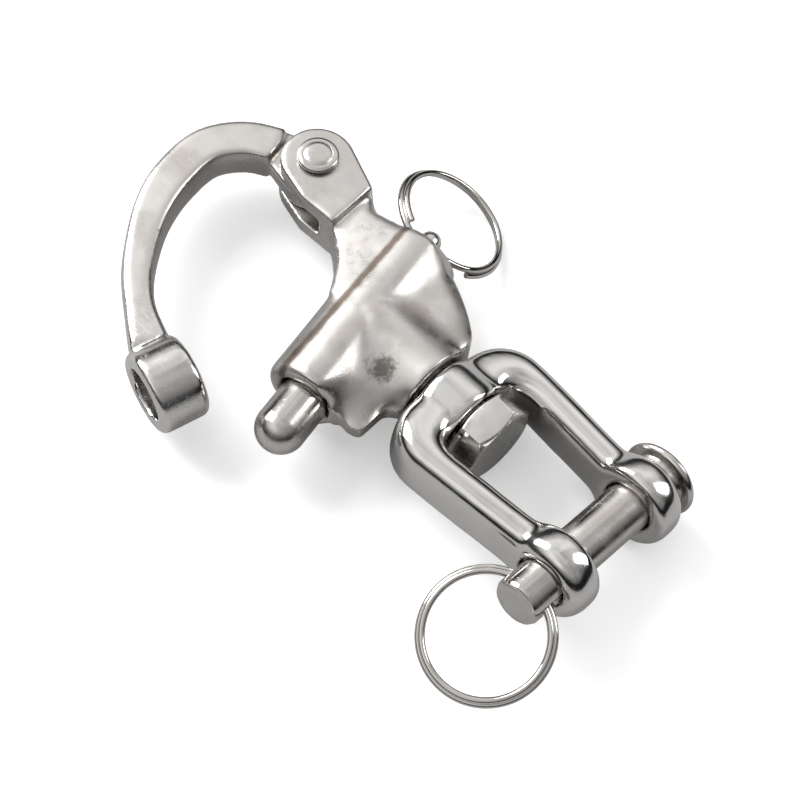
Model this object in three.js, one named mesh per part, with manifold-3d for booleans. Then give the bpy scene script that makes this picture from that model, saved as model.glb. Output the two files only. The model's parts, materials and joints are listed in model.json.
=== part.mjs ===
// Snap shackle with a swivelling clevis fork, in millimetres, +Z up.
//
// The shackle lies flat. The swivel axis is X, with the fork at +X. The gate's rivet stands along Z.
// The plunger crosses the swivel axis at the origin of the drawing and leans a little from +Y, so the
// pieces round it are drawn in the "latch frame": the drawing turned by PLUNGER_LEAN about Z.
// At the end the whole group is moved so that the middle of its lowest side is the origin.
import * as THREE from 'three';
import { mergeVertices } from 'three/addons/utils/BufferGeometryUtils.js';
import Module from 'manifold-3d';

const wasm = await Module();
wasm.setup();

// ---- Driving dimensions: millimetres and degrees ----
const RUNNING_GAP = 0.3; // between pieces that move on each other
const FIXED_GAP = 0.2; // round a pin or thread that stays put
const PLUNGER_LEAN = 11;

const BARREL_RADIUS = 7.1;
const BARREL_TO_LATCH = 16.7; // from the swivel axis to the barrel's two ends
const BARREL_TO_RING = 16.4;
const BARREL_ROUND = 1.2;
const RING_END_WALL = 4.4;

const SWIVEL_FACE_X = 15.6;
const BOSS_RADIUS = 7.3;
const BOSS_ROUND = 0.7;

// The webs that fill the two corners between barrel and boss: thick at the shoulder on the ring's
// side, thick near the corner on the latch side and thin at that side's outer edge.
const SHIELD_HALF = 4.7;
const SHIELD_ROUND = 1.2;
const SHIELD_SHOULDER_Y = 9.8;
const SHIELD_BULGE = 3.6; // how far the shoulder's curve is drawn out past that
const WEB_HALF = 2.6;
const WEB_HEEL_X = 9.6; // the heel, in the latch frame
const WEB_HEEL_PAST_BARREL = 1; // past the barrel's latch end

const PIVOT_X = -22.3; // the rivet, in the latch frame
const PIVOT_Y = 19;
const EAR_RADIUS = 6.2;
const EAR_HALF = 5.1;
const EAR_ROUND = 0.6;
const EAR_RIDGE_TOP = [10.6, 0.6]; // from the rivet, where the ear's flat ends at the neck
const EAR_RIDGE_FOOT = [9, -8.9];
const EAR_HEEL = [2, -7.8];
const NECK_HALF = 3.9;
const NECK_ROUND = 1;
const NECK_RISE_X = -11.5; // in the latch frame, where the neck starts to rise towards the barrel
const NECK_SEAM_X = -3.6; // where it meets the barrel
const NECK_SEAM_HALF = 6;
const NECK_FOOT_Y = -20; // from the rivet, where the neck runs out on the barrel
const NECK_WAIST = [12.8, -2.9]; // pulls the neck's outer edge in
const SLOT_HEEL = [2.3, -6.4]; // the slot's second, smaller round, from the rivet
const SLOT_HEEL_RADIUS = 4.2;
const RIVET_RADIUS = 1.9;
const RIVET_HEAD_RADIUS = 3.45;
const RIVET_HEAD_HEIGHT = 1.2;
const RIVET_RIM = 0.3; // height of the head's upright rim

const TONGUE_RADIUS = 6.1;
const TONGUE_HALF = 1.8;
const TONGUE_SHOULDER = 7.3; // from the rivet to where the gate is full thickness
const TONGUE_LAP = 2; // how far the tongue runs on inside the bow
const TONGUE_ROUND = 0.3;
const TONGUE_START = 65; // degrees round the rivet, where the tongue's sides leave its round end
const GATE_HALF = 3.25;
const GATE_ROUND = 1.1;
const GATE_ROOT_HALF_WIDTH = 3.55;
const GATE_TIP_HALF_WIDTH = 2.5;
const GATE_REACH = 19.2; // how far the bow stands out from the line between rivet and eye
const GATE_REST_ANGLE = 24.5; // how far the gate stands open at rest
const EYE_RADIUS = 6.9;
const EYE_LENGTH = 8.4;
const EYE_ROUND = 1.1;

const PLUNGER_RADIUS = 4.15;
const PLUNGER_REACH = 26.9; // from the swivel axis to the dome's tip
const PLUNGER_SHOULDER = 6; // from the swivel axis to the step that the spring pushes on
const TAIL_RADIUS = 1.85;
const TAIL_REACH = 21;
const TAIL_HOLE_RADIUS = 1.4;
const TAIL_HOLE_ROLL = -25; // how the tail's cross hole is turned about the plunger axis

const SPRING_WIRE_RADIUS = 0.45;
const SPRING_RADIUS = 3.35;
const SPRING_TURNS = 7;

const RING_OUTER_RADIUS = 10.8;
const RING_HALF_WIDTH = 0.9; // across the two turns, seen along the ring's axis
const RING_HALF_HEIGHT = 1;
const PULL_RING_DROOP = 20;
const PULL_RING_SKEW = -8; // turned in its own plane, as far as the loose hole lets it
const CLEVIS_RING_DROOP = 23;

const BOLT_RADIUS = 4;
const BOLT_TIP_X = 6.8;
const BOLT_HEAD_HEIGHT = 5.3;
const BOLT_ACROSS_FLATS = 13;
const BOLT_HEAD_TURN = 7;
const BOLT_SEAT_CHAMFER = 0.6;
const BOLT_END_CHAMFER = 0.8;

const FORK_TURN = -10; // how far the fork is swivelled at rest
const FORK_BASE = 8.4; // along the swivel axis
const FORK_HUB_RADIUS = 6.8;
const FORK_DEPTH_HALF = 5;
const FORK_ROUND = 2.8;
const FORK_OUTER_HALF = 15; // half width over the arms at the base, and at the ears
const FORK_OUTER_HALF_AT_EAR = 13;
const FORK_CORNER = 8; // how far the bow's outer corners reach along the swivel axis
const FORK_ARM = 6.2;
const FORK_ARM_AT_EAR = 5.8;
const CLEVIS_AXIS_X = 50;
const JAW_HALF = 7.2;
const FORK_EAR_THICK = 6.4;
const FORK_EAR_RADIUS = 7.4;
const FORK_EAR_ROUND = 2.6; // outside; the rim round the jaw stays flat
const FORK_EAR_JAW_ROUND = 1;
const FORK_HUB_ROUND = 0.9;

const PIN_RADIUS = 4;
const PIN_FREE_END = 5.4; // how far the pin stands out of the fork
const PIN_CHAMFER = 0.7;
const PIN_HEAD_RADIUS = 6.5;
const PIN_HEAD_HEIGHT = 3.4;
const PIN_HEAD_ROUND = 0.5;
const PIN_HOLE_PLAY = 0.33; // round the ring where it curves through the hole
const PIN_HOLE_FROM_EAR = 1.65;
const PIN_HOLE_ROLL = 2; // how the pin's cross hole is turned about the pin, beyond the fork's own turn

// ---- Small tools ----
const radians = THREE.MathUtils.degToRad;
const lean = radians(PLUNGER_LEAN);

function signedVolume(position, triangles) {
  const a = new THREE.Vector3();
  const b = new THREE.Vector3();
  const c = new THREE.Vector3();
  let sum = 0;
  for (let i = 0; i < triangles.length; i += 3) {
    a.fromBufferAttribute(position, triangles[i]);
    b.fromBufferAttribute(position, triangles[i + 1]);
    c.fromBufferAttribute(position, triangles[i + 2]);
    sum += a.dot(b.cross(c));
  }
  return sum / 6;
}

// A closed geometry as a manifold solid with its faces pointing out.
function solid(geometry) {
  const bare = geometry.clone();
  bare.deleteAttribute('normal');
  bare.deleteAttribute('uv');
  const merged = mergeVertices(bare, 1e-4);
  const index = merged.index.array;
  const triangles = [];
  for (let i = 0; i < index.length; i += 3) {
    const [a, b, c] = [index[i], index[i + 1], index[i + 2]];
    if (a !== b && b !== c && c !== a) triangles.push(a, b, c);
  }
  if (signedVolume(merged.attributes.position, triangles) < 0) triangles.reverse();
  return new wasm.Manifold(new wasm.Mesh({
    numProp: 3,
    vertProperties: new Float32Array(merged.attributes.position.array),
    triVerts: new Uint32Array(triangles),
  }));
}

function toGeometry(manifold) {
  const mesh = manifold.getMesh();
  const geometry = new THREE.BufferGeometry();
  geometry.setAttribute('position', new THREE.BufferAttribute(mesh.vertProperties, 3));
  geometry.setIndex(new THREE.BufferAttribute(mesh.triVerts, 1));
  geometry.computeVertexNormals();
  return geometry;
}

const union = (...parts) => parts.reduce((sum, part) => sum.add(part));
const cut = (whole, ...tools) => tools.reduce((left, tool) => left.subtract(tool), whole);

// Points of a circular arc, angles in degrees.
function arc(x, y, radius, from, to, steps) {
  return Array.from({ length: steps + 1 }, (_, i) => {
    const angle = radians(from + ((to - from) * i) / steps);
    return new THREE.Vector2(x + radius * Math.cos(angle), y + radius * Math.sin(angle));
  });
}

const point = (x, y) => new THREE.Vector2(x, y);

// A profile of (radius, height) points turned about the named axis.
function turned(profile, axis, segments = 40) {
  const geometry = new THREE.LatheGeometry(profile, segments);
  if (axis === 'x') geometry.rotateZ(-Math.PI / 2);
  if (axis === 'z') geometry.rotateX(Math.PI / 2);
  return geometry;
}

// A round bar from one height to another along an axis, with its edges rounded or sharp.
function bar(radius, from, to, axis, round = 0, segments = 40) {
  if (!round) {
    return turned([point(0, from), point(radius, from), point(radius, to), point(0, to)], axis, segments);
  }
  return turned([
    point(0, from),
    ...arc(radius - round, from + round, round, -90, 0, 3),
    ...arc(radius - round, to - round, round, 0, 90, 3),
    point(0, to),
  ], axis, segments);
}

// An outline in XY as a plate between -half and +half in Z, with rounded rims.
function plate(outline, half, round, steps = 2) {
  const geometry = new THREE.ExtrudeGeometry(outline, {
    depth: 2 * (half - round),
    bevelEnabled: round > 0,
    bevelThickness: round,
    bevelSize: round,
    bevelOffset: -round,
    bevelSegments: steps,
    curveSegments: 10,
  });
  return geometry.translate(0, 0, -(half - round));
}

function box(x0, x1, y0, y1, z0, z1) {
  const geometry = new THREE.BoxGeometry(x1 - x0, y1 - y0, z1 - z0);
  return geometry.translate((x0 + x1) / 2, (y0 + y1) / 2, (z0 + z1) / 2);
}

// From the latch frame to the swivel's frame.
const fromLatch = (x, y) => point(x, y).rotateAround(point(0, 0), lean);

function piece(name, geometry, color, roughness) {
  const material = new THREE.MeshStandardMaterial({ color, roughness, metalness: 1 });
  const mesh = new THREE.Mesh(geometry, material);
  mesh.name = name;
  return mesh;
}

// ---- Body casting: ears, neck, barrel, swivel boss and the webs between them ----
const BORE_RADIUS = PLUNGER_RADIUS + RUNNING_GAP;
const BORE_END = BARREL_TO_RING - RING_END_WALL;
const JAW_SLOT_HALF = TONGUE_HALF + RUNNING_GAP;
const SLOT_GAP = 1.1; // round the tongue's end
const OVERSHOOT = 5; // how far a drill runs out past the surface

// The shoulder on the ring's side and, on the latch side, the corner up to the two ridges.
function shoulderOutline() {
  const ringEnd = BARREL_TO_RING - BARREL_ROUND / 2;
  const face = SWIVEL_FACE_X - 0.1;
  const shape = new THREE.Shape();
  shape.moveTo(...fromLatch(-0.5 * BARREL_RADIUS, ringEnd));
  shape.lineTo(...fromLatch(0.2 * BARREL_RADIUS, ringEnd));
  shape.lineTo(...fromLatch(0.8 * BARREL_RADIUS, ringEnd - 0.8));
  shape.quadraticCurveTo(
    0.62 * face, SHIELD_SHOULDER_Y + SHIELD_BULGE,
    0.91 * face, SHIELD_SHOULDER_Y,
  );
  shape.quadraticCurveTo(face, SHIELD_SHOULDER_Y - 1.4, face, SHIELD_SHOULDER_Y - 3.4);
  shape.lineTo(face, -0.6 * BOSS_RADIUS);
  shape.lineTo(...fromLatch(0.7 * BARREL_RADIUS, -0.8 * BARREL_TO_LATCH));
  shape.lineTo(...fromLatch(-0.5 * BARREL_RADIUS, -0.8 * BARREL_TO_LATCH));
  shape.closePath();
  return shape;
}

// The thin web's edge on the latch side, from the swivel face round the heel to the barrel.
function webOutline() {
  const latchEnd = BARREL_TO_LATCH - BARREL_ROUND / 2;
  const face = SWIVEL_FACE_X - 0.1;
  const shape = new THREE.Shape();
  shape.moveTo(0, 0);
  shape.lineTo(face, 0);
  shape.lineTo(face, -BOSS_RADIUS);
  shape.lineTo(0.87 * face, -1.2 * BOSS_RADIUS);
  shape.lineTo(...fromLatch(WEB_HEEL_X + 1, 0.4 - latchEnd - WEB_HEEL_PAST_BARREL));
  shape.lineTo(...fromLatch(WEB_HEEL_X - 1, -latchEnd - WEB_HEEL_PAST_BARREL));
  shape.lineTo(...fromLatch(0.8 * BARREL_RADIUS, -latchEnd));
  shape.closePath();
  return shape;
}

// The flat ears, up to the ridge where the neck drops.
const fromRivet = ([x, y]) => point(PIVOT_X + x, PIVOT_Y + y);

function earOutline() {
  return new THREE.Shape([
    ...arc(PIVOT_X, PIVOT_Y, EAR_RADIUS, 57, 245, 18),
    fromRivet(EAR_HEEL),
    fromRivet(EAR_RIDGE_FOOT),
    fromRivet(EAR_RIDGE_TOP),
  ]);
}

function neckOutline() {
  const side = -0.9 * BARREL_RADIUS;
  const footY = PIVOT_Y + NECK_FOOT_Y;
  const [ridgeX, ridgeY] = EAR_RIDGE_FOOT;
  const curveStart = fromRivet([ridgeX - 0.6, ridgeY]);
  const curvePull = point(side - 2.6, PIVOT_Y + ridgeY - 3.3);
  const shape = new THREE.Shape();
  shape.moveTo(...fromRivet([6, 2.9]));
  shape.lineTo(...fromRivet([4, ridgeY + 0.9]));
  shape.lineTo(...curveStart);
  shape.quadraticCurveTo(...curvePull, side, footY);
  shape.lineTo(0, footY);
  shape.lineTo(0, BARREL_TO_RING - BARREL_ROUND);
  shape.lineTo(side + 1.4, BARREL_TO_RING - 0.2);
  shape.quadraticCurveTo(...fromRivet(NECK_WAIST), ...fromRivet(EAR_RIDGE_TOP));
  shape.closePath();
  return shape;
}

// The neck's two faces, which slope out from below the ridge to the barrel.
function neckSlope() {
  const slope = new THREE.Shape([
    point(NECK_RISE_X, -NECK_HALF),
    point(NECK_SEAM_X, -NECK_SEAM_HALF),
    point(0, -NECK_SEAM_HALF),
    point(0, NECK_SEAM_HALF),
    point(NECK_SEAM_X, NECK_SEAM_HALF),
    point(NECK_RISE_X, NECK_HALF),
  ]);
  const wedge = new THREE.ExtrudeGeometry(slope, { depth: 2 * BARREL_TO_RING, bevelEnabled: false });
  wedge.translate(0, 0, -BARREL_TO_RING).rotateX(Math.PI / 2);
  return solid(wedge).intersect(solid(plate(neckOutline(), BARREL_RADIUS, 0)));
}

function bodyCasting() {
  const barrel = bar(BARREL_RADIUS, -BARREL_TO_LATCH, BARREL_TO_RING, 'y', BARREL_ROUND, 48);
  const ears = plate(earOutline(), EAR_HALF, EAR_ROUND);
  const neck = plate(neckOutline(), NECK_HALF, NECK_ROUND);
  const slot = bar(TONGUE_RADIUS + SLOT_GAP, -JAW_SLOT_HALF, JAW_SLOT_HALF, 'z');
  const slotHeel = bar(SLOT_HEEL_RADIUS, -JAW_SLOT_HALF, JAW_SLOT_HALF, 'z');
  const rivetHole = bar(RIVET_RADIUS + FIXED_GAP, -2 * EAR_HALF, 2 * EAR_HALF, 'z', 0, 24);
  slot.translate(PIVOT_X, PIVOT_Y, 0);
  slotHeel.translate(...fromRivet(SLOT_HEEL), 0);
  rivetHole.translate(PIVOT_X, PIVOT_Y, 0);
  const bore = bar(BORE_RADIUS, -BARREL_TO_LATCH - OVERSHOOT, BORE_END, 'y');
  const tailHole = bar(TAIL_RADIUS + RUNNING_GAP, 0, BARREL_TO_RING + OVERSHOOT, 'y', 0, 24);

  const inLatch = (geometry) => solid(geometry.rotateZ(lean));
  const boss = solid(bar(BOSS_RADIUS, 0, SWIVEL_FACE_X, 'x', BOSS_ROUND, 48));
  const shoulder = solid(plate(shoulderOutline(), SHIELD_HALF, SHIELD_ROUND));
  const web = solid(plate(webOutline(), WEB_HALF, SHIELD_ROUND));
  const slope = neckSlope().rotate([0, 0, PLUNGER_LEAN]);
  const boltHoleStart = BOLT_TIP_X - FIXED_GAP;
  const boltHole = solid(bar(BOLT_RADIUS + FIXED_GAP, boltHoleStart, SWIVEL_FACE_X + OVERSHOOT, 'x'));
  return cut(
    union(inLatch(barrel), inLatch(ears), inLatch(neck), slope, boss, shoulder, web),
    inLatch(slot), inLatch(slotHeel), inLatch(rivetHole),
    inLatch(bore), inLatch(tailHole), boltHole,
  );
}

// ---- Hinge rivet: a shank with a domed head on each side ----
function hingeRivet() {
  const seat = EAR_HALF + FIXED_GAP;
  const dome = (side) => [
    point(RIVET_HEAD_RADIUS - RIVET_RIM, side * seat),
    point(RIVET_HEAD_RADIUS, side * (seat + RIVET_RIM)),
    point(0.86 * RIVET_HEAD_RADIUS, side * (seat + 0.72 * RIVET_HEAD_HEIGHT)),
    point(0.5 * RIVET_HEAD_RADIUS, side * (seat + RIVET_HEAD_HEIGHT)),
    point(0, side * (seat + RIVET_HEAD_HEIGHT)),
  ];
  return solid(turned([
    ...dome(-1).reverse(),
    point(RIVET_RADIUS, -seat),
    point(RIVET_RADIUS, seat),
    ...dome(1),
  ], 'z', 28));
}

// ---- Gate: a bow from the tongue between the ears to the eye round the plunger ----
// Drawn shut, about the rivet. The bow's middle line is given along and out from the line that
// joins rivet and eye: (share of that line's length, share of the bow's reach).
const eyeFromPivot = point(-PIVOT_X, -BARREL_TO_LATCH - RUNNING_GAP - EYE_LENGTH / 2 - PIVOT_Y);
const BOW = [[-0.01, 0.36], [0.03, 0.67], [0.13, 0.92], [0.28, 1], [0.41, 0.99], [0.54, 0.91],
  [0.7, 0.74], [0.82, 0.53], [0.93, 0.26]];

function bowLine() {
  const along = eyeFromPivot.clone();
  const out = point(along.y, -along.x).normalize().multiplyScalar(GATE_REACH);
  return new THREE.SplineCurve(BOW.map(([u, v]) => along.clone().multiplyScalar(u).addScaledVector(out, v)));
}

function bowOutline() {
  const line = bowLine();
  const steps = 32;
  const sides = [1, -1].map((side) => Array.from({ length: steps + 1 }, (_, i) => {
    const t = i / steps;
    const tangent = line.getTangent(t);
    const flare = 0.8 * THREE.MathUtils.smoothstep(t, 0.85, 1);
    const narrowing = THREE.MathUtils.smoothstep(t, 0.35, 0.85) - flare;
    const half = THREE.MathUtils.lerp(GATE_ROOT_HALF_WIDTH, GATE_TIP_HALF_WIDTH, narrowing);
    return line.getPoint(t).add(point(-tangent.y, tangent.x).multiplyScalar(side * half));
  }));
  return new THREE.Shape([...sides[0], ...sides[1].reverse()]);
}

function gate() {
  const root = bowLine().getPoint(0);
  const rootAngle = Math.atan2(root.y, root.x);
  const alongRoot = (geometry) => solid(geometry.rotateZ(rootAngle));
  const beyondRoot = 3 * TONGUE_RADIUS;
  const lapEnd = TONGUE_SHOULDER + TONGUE_LAP;
  const lapHalf = GATE_ROOT_HALF_WIDTH - TONGUE_ROUND;
  const bow = cut(
    solid(plate(bowOutline(), GATE_HALF, GATE_ROUND)),
    alongRoot(box(
      -beyondRoot, TONGUE_SHOULDER, -beyondRoot, beyondRoot, -2 * GATE_HALF, 2 * GATE_HALF,
    )),
  );
  const tongueOutline = new THREE.Shape([
    ...arc(0, 0, TONGUE_RADIUS, TONGUE_START, 360 - TONGUE_START, 26),
    point(TONGUE_SHOULDER, -GATE_ROOT_HALF_WIDTH),
    point(lapEnd, -lapHalf),
    point(lapEnd, lapHalf),
    point(TONGUE_SHOULDER, GATE_ROOT_HALF_WIDTH),
  ]);
  const tongue = alongRoot(plate(tongueOutline, TONGUE_HALF, TONGUE_ROUND));
  const eye = bar(EYE_RADIUS, -EYE_LENGTH / 2, EYE_LENGTH / 2, 'y', EYE_ROUND);
  const eyeHole = bar(PLUNGER_RADIUS + RUNNING_GAP, -EYE_LENGTH, EYE_LENGTH, 'y');
  const hingeHole = bar(RIVET_RADIUS + RUNNING_GAP, -2 * GATE_HALF, 2 * GATE_HALF, 'z', 0, 24);
  eye.translate(eyeFromPivot.x, eyeFromPivot.y, 0);
  eyeHole.translate(eyeFromPivot.x, eyeFromPivot.y, 0);
  return cut(union(bow, tongue, solid(eye)), solid(eyeHole), solid(hingeHole));
}

// ---- Plunger, its spring and the split rings ----
const TAIL_HOLE_Y = BARREL_TO_RING + RING_HALF_WIDTH + RUNNING_GAP;

function plunger() {
  const domeCentre = PLUNGER_RADIUS - PLUNGER_REACH;
  const tailCentre = TAIL_REACH - TAIL_RADIUS;
  const profile = [
    ...arc(0, domeCentre, PLUNGER_RADIUS, -90, 0, 8),
    point(PLUNGER_RADIUS, -PLUNGER_SHOULDER),
    point(TAIL_RADIUS, -PLUNGER_SHOULDER),
    ...arc(0, tailCentre, TAIL_RADIUS, 0, 90, 5),
  ];
  const hole = bar(TAIL_HOLE_RADIUS, -2 * TAIL_RADIUS, 2 * TAIL_RADIUS, 'x', 0, 20);
  hole.rotateY(radians(-TAIL_HOLE_ROLL));
  hole.translate(0, TAIL_HOLE_Y, 0);
  return cut(solid(turned(profile, 'y', 36)), solid(hole));
}

class Helix extends THREE.Curve {
  constructor(radius, from, to, turns) {
    super();
    Object.assign(this, { radius, from, to, turns });
  }

  getPoint(t, target = new THREE.Vector3()) {
    const angle = 2 * Math.PI * this.turns * t;
    return target.set(
      this.radius * Math.cos(angle),
      THREE.MathUtils.lerp(this.from, this.to, t),
      this.radius * Math.sin(angle),
    );
  }
}

function plungerSpring() {
  const end = SPRING_WIRE_RADIUS + FIXED_GAP;
  const path = new Helix(SPRING_RADIUS, -PLUNGER_SHOULDER + end, BORE_END - end, SPRING_TURNS);
  const wire = new THREE.Shape(arc(0, 0, SPRING_WIRE_RADIUS, 0, 300, 5));
  return solid(new THREE.ExtrudeGeometry(wire, {
    steps: SPRING_TURNS * 14,
    bevelEnabled: false,
    extrudePath: path,
  }));
}

// How far a ring curves away from straight inside a hole through a bar of this radius.
const RING_MIDDLE = RING_OUTER_RADIUS - RING_HALF_WIDTH;
const ringRise = (barRadius) => RING_MIDDLE - Math.sqrt(RING_MIDDLE ** 2 - barRadius ** 2);

// A split ring about its own centre, lying in XY, as one round band that holds both turns.
function splitRing() {
  const section = Array.from({ length: 11 }, (_, i) => {
    const angle = (2 * Math.PI * i) / 10;
    return point(RING_MIDDLE + RING_HALF_WIDTH * Math.cos(angle), RING_HALF_HEIGHT * Math.sin(angle));
  });
  return solid(turned(section, 'z', 40));
}

// ---- Swivel bolt: a hexagon head inside the fork, its shank screwed into the boss ----
const FORK_BACK_X = SWIVEL_FACE_X + RUNNING_GAP;
const FORK_INNER_X = FORK_BACK_X + FORK_BASE;
const BOLT_HEAD_X = FORK_INNER_X + RUNNING_GAP;

function swivelBolt() {
  const corner = BOLT_ACROSS_FLATS / Math.sqrt(3);
  const headEnd = BOLT_HEAD_X + BOLT_HEAD_HEIGHT;
  const head = new THREE.CylinderGeometry(corner, corner, BOLT_HEAD_HEIGHT, 6, 1, false, Math.PI / 6);
  head.rotateZ(-Math.PI / 2);
  head.translate(BOLT_HEAD_X + BOLT_HEAD_HEIGHT / 2, 0, 0);
  head.rotateX(radians(BOLT_HEAD_TURN));
  const chamfer = turned([
    point(0, BOLT_HEAD_X),
    point(0.97 * BOLT_ACROSS_FLATS / 2, BOLT_HEAD_X),
    point(corner + 0.1, BOLT_HEAD_X + BOLT_SEAT_CHAMFER),
    point(corner + 0.1, headEnd - BOLT_END_CHAMFER),
    point(0.94 * BOLT_ACROSS_FLATS / 2, headEnd),
    point(0, headEnd),
  ], 'x', 48);
  const shank = bar(BOLT_RADIUS, BOLT_TIP_X, BOLT_HEAD_X + 1, 'x', BOLT_SEAT_CHAMFER);
  return union(solid(head).intersect(solid(chamfer)), solid(shank));
}

// ---- Fork: a bow round the bolt, two arms and two round ears for the clevis pin ----
const FORK_OUTSIDE = JAW_HALF + FORK_EAR_THICK;

function forkOutline() {
  const armEnd = CLEVIS_AXIS_X - 0.5 * FORK_EAR_RADIUS;
  const cornerX = FORK_BACK_X + FORK_CORNER;
  const backHalf = 0.4 * FORK_OUTER_HALF;
  const cornerPull = 0.77 * FORK_OUTER_HALF;
  const innerHalf = FORK_OUTER_HALF - FORK_ARM;
  const innerEnd = FORK_OUTER_HALF_AT_EAR - FORK_ARM_AT_EAR;
  const innerCorner = 0.75 * innerHalf;
  const innerCornerX = FORK_INNER_X + 3.5;
  const shape = new THREE.Shape();
  shape.moveTo(FORK_BACK_X, -backHalf);
  shape.lineTo(FORK_BACK_X, backHalf);
  shape.bezierCurveTo(FORK_BACK_X, cornerPull, cornerX - 4.5, FORK_OUTER_HALF, cornerX, FORK_OUTER_HALF);
  shape.lineTo(armEnd, FORK_OUTER_HALF_AT_EAR);
  shape.lineTo(armEnd, innerEnd);
  shape.lineTo(innerCornerX, innerHalf);
  shape.quadraticCurveTo(FORK_INNER_X, innerHalf, FORK_INNER_X, innerCorner);
  shape.lineTo(FORK_INNER_X, -innerCorner);
  shape.quadraticCurveTo(FORK_INNER_X, -innerHalf, innerCornerX, -innerHalf);
  shape.lineTo(armEnd, -innerEnd);
  shape.lineTo(armEnd, -FORK_OUTER_HALF_AT_EAR);
  shape.lineTo(cornerX, -FORK_OUTER_HALF);
  shape.bezierCurveTo(cornerX - 4.5, -FORK_OUTER_HALF, FORK_BACK_X, -cornerPull, FORK_BACK_X, -backHalf);
  return shape;
}

function fork() {
  const bow = solid(plate(forkOutline(), FORK_DEPTH_HALF, FORK_ROUND, 3));
  const hub = solid(bar(FORK_HUB_RADIUS, FORK_BACK_X, FORK_INNER_X, 'x', FORK_HUB_ROUND, 48));
  const [inside, outside] = [FORK_EAR_JAW_ROUND, FORK_EAR_ROUND];
  const earProfile = [
    point(0, JAW_HALF),
    ...arc(FORK_EAR_RADIUS - inside, JAW_HALF + inside, inside, -90, 0, 2),
    ...arc(FORK_EAR_RADIUS - outside, FORK_OUTSIDE - outside, outside, 0, 90, 4),
    point(0, FORK_OUTSIDE),
  ];
  const ears = [0, Math.PI].map((turn) => {
    const ear = turned(earProfile, 'y').rotateZ(turn);
    return solid(ear.translate(CLEVIS_AXIS_X, 0, 0));
  });
  const boltHole = bar(BOLT_RADIUS + RUNNING_GAP, FORK_BACK_X - OVERSHOOT, FORK_INNER_X + OVERSHOOT, 'x');
  const pinHole = bar(PIN_RADIUS + RUNNING_GAP, -2 * FORK_OUTSIDE, 2 * FORK_OUTSIDE, 'y');
  pinHole.translate(CLEVIS_AXIS_X, 0, 0);
  return cut(union(bow, hub, ...ears), solid(boltHole), solid(pinHole));
}

// ---- Clevis pin, drawn about its own axis along Y, with its head at +Y ----
const PIN_HOLE_Y = -FORK_OUTSIDE - PIN_HOLE_FROM_EAR;
const PIN_HOLE_RADIUS = RING_HALF_WIDTH + ringRise(PIN_RADIUS) / 2 + PIN_HOLE_PLAY;

function clevisPin() {
  const tip = -FORK_OUTSIDE - PIN_FREE_END;
  const seat = FORK_OUTSIDE + RUNNING_GAP;
  const top = seat + PIN_HEAD_HEIGHT;
  const shank = turned([
    point(0, tip),
    point(PIN_RADIUS - PIN_CHAMFER, tip),
    point(PIN_RADIUS, tip + PIN_CHAMFER),
    point(PIN_RADIUS, seat),
    point(PIN_HEAD_RADIUS - PIN_HEAD_ROUND, seat),
    point(PIN_HEAD_RADIUS, seat + PIN_HEAD_ROUND),
    point(PIN_HEAD_RADIUS, seat + 0.47 * PIN_HEAD_HEIGHT),
    point(0.9 * PIN_HEAD_RADIUS, seat + 0.76 * PIN_HEAD_HEIGHT),
    point(0.62 * PIN_HEAD_RADIUS, seat + 0.94 * PIN_HEAD_HEIGHT),
    point(0, top),
  ], 'y', 40);
  const hole = bar(PIN_HOLE_RADIUS, -2 * PIN_RADIUS, 2 * PIN_RADIUS, 'x', 0, 20);
  hole.rotateY(radians(PIN_HOLE_ROLL));
  hole.translate(0, PIN_HOLE_Y, 0);
  return cut(solid(shank), solid(hole));
}

// ---- Assembly ----
const STEEL = 0xc9c7c4;
const POLISHED = 0xd8d7d5;
const shackle = new THREE.Group();

shackle.add(
  piece('body_casting', toGeometry(bodyCasting()), STEEL, 0.3),
  piece('swivel_bolt', toGeometry(swivelBolt()), POLISHED, 0.16),
);

const latch = new THREE.Group();
latch.rotation.z = lean;
shackle.add(latch);

const rivet = piece('hinge_rivet', toGeometry(hingeRivet()), POLISHED, 0.2);
rivet.position.set(PIVOT_X, PIVOT_Y, 0);
const gateMesh = piece('gate', toGeometry(gate()), STEEL, 0.34);
gateMesh.position.set(PIVOT_X, PIVOT_Y, 0);
gateMesh.rotation.z = radians(-GATE_REST_ANGLE);
latch.add(
  rivet,
  gateMesh,
  piece('plunger', toGeometry(plunger()), POLISHED, 0.22),
  piece('plunger_spring', toGeometry(plungerSpring()), POLISHED, 0.3),
);

// A ring hangs in a cross hole: the hole runs along the local X axis, and the ring's centre lies
// towards `side` of local Y, then droops about the hole. The ring curves inside the hole, so it is
// shifted by half that curve's rise to sit in the middle of it.
function hungRing(name, side, droop, barRadius, skew = 0) {
  const ring = piece(name, toGeometry(splitRing()), POLISHED, 0.16);
  ring.position.y = side * (RING_MIDDLE - ringRise(barRadius) / 2);
  const turnedInPlane = new THREE.Group();
  turnedInPlane.rotation.z = radians(skew);
  turnedInPlane.add(ring);
  const drooped = new THREE.Group();
  drooped.rotation.x = radians(-side * droop);
  drooped.add(turnedInPlane);
  return drooped;
}

const tailHole = new THREE.Group();
tailHole.position.y = TAIL_HOLE_Y;
tailHole.rotation.y = radians(-TAIL_HOLE_ROLL);
tailHole.add(hungRing('pull_ring', 1, PULL_RING_DROOP, TAIL_RADIUS, PULL_RING_SKEW));
latch.add(tailHole);

const forkGroup = new THREE.Group();
forkGroup.rotation.x = radians(FORK_TURN);
shackle.add(forkGroup);

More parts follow.
